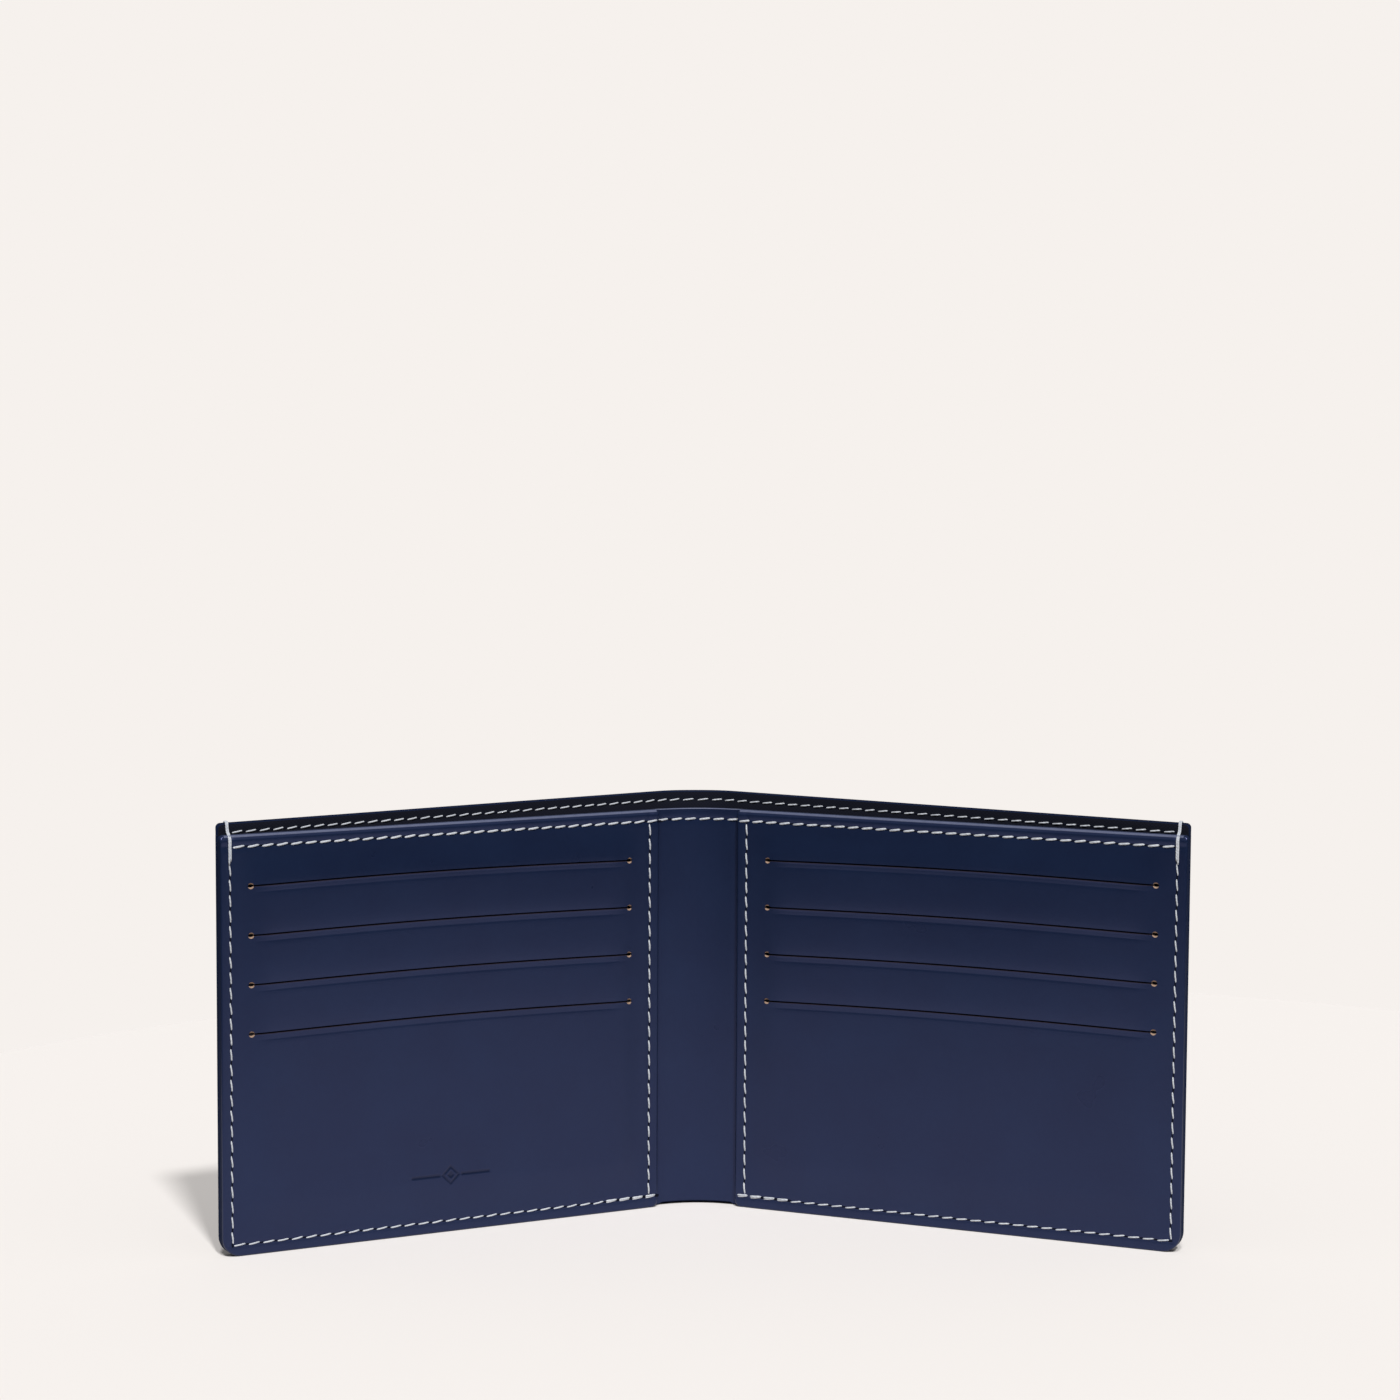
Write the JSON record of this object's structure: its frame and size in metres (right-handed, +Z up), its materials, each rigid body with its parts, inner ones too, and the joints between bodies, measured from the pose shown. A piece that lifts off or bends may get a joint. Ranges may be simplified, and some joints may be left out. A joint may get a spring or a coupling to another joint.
{
  "type": "bifold wallet",
  "caption": "Thin billfold of dark leather with contrast stitching, standing open. Card slits on both leaves, a full-width note pocket behind them, and a soft spine that folds.",
  "frame": {"origin": "on the surface the wallet stands on, at the centre of its box", "axes": "+Z up, +X to the right along the open wallet, -Y towards the person who looks into it"},
  "size_m": [0.212, 0.0634, 0.095],
  "materials": {
    "cover_leather": "smooth, fine grain, satin",
    "panel_leather": "smooth, fine grain, satin",
    "divider_leather": "smooth, fine grain, satin",
    "lining_cloth": "fine weave, matt",
    "pouch_cloth": "fine weave, matt",
    "stiffener_board": "raw bonded board",
    "thread": "twisted polyester thread"
  },
  "bodies": {
    "spine": {"cover_shell_spine": "cover_leather", "cover_lining_spine": "lining_cloth", "note_divider_spine": "divider_leather", "thread_divider_top_spine": "thread", "thread_cover_top_spine": "thread"},
    "left_leaf": {"cover_shell_left": "cover_leather", "cover_stiffener_left": "stiffener_board", "cover_lining_left": "lining_cloth", "note_divider_left": "divider_leather", "card_panel_left": "panel_leather", "card_pouch_1_left": "pouch_cloth", "card_pouch_2_left": "pouch_cloth", "card_pouch_3_left": "pouch_cloth", "card_pouch_4_left": "pouch_cloth", "thread_edge_left": "thread", "thread_panel_left": "thread", "thread_divider_top_left": "thread", "thread_cover_top_left": "thread"},
    "right_leaf": {"cover_shell_right": "cover_leather", "cover_stiffener_right": "stiffener_board", "cover_lining_right": "lining_cloth", "note_divider_right": "divider_leather", "card_panel_right": "panel_leather", "card_pouch_1_right": "pouch_cloth", "card_pouch_2_right": "pouch_cloth", "card_pouch_3_right": "pouch_cloth", "card_pouch_4_right": "pouch_cloth", "thread_edge_right": "thread", "thread_panel_right": "thread", "thread_divider_top_right": "thread", "thread_cover_top_right": "thread"}
  },
  "joints": [
    {"name": "fold_left", "type": "hinge", "parent": "spine", "child": "left_leaf", "pos_m": [-0.00438, 0.01759, 0], "axis": [0, 0, 1], "range_deg": [-25.2, 65.7]},
    {"name": "fold_right", "type": "hinge", "parent": "spine", "child": "right_leaf", "pos_m": [0.00438, 0.01759, 0], "axis": [0, 0, -1], "range_deg": [-25.2, 65.7]}
  ]
}
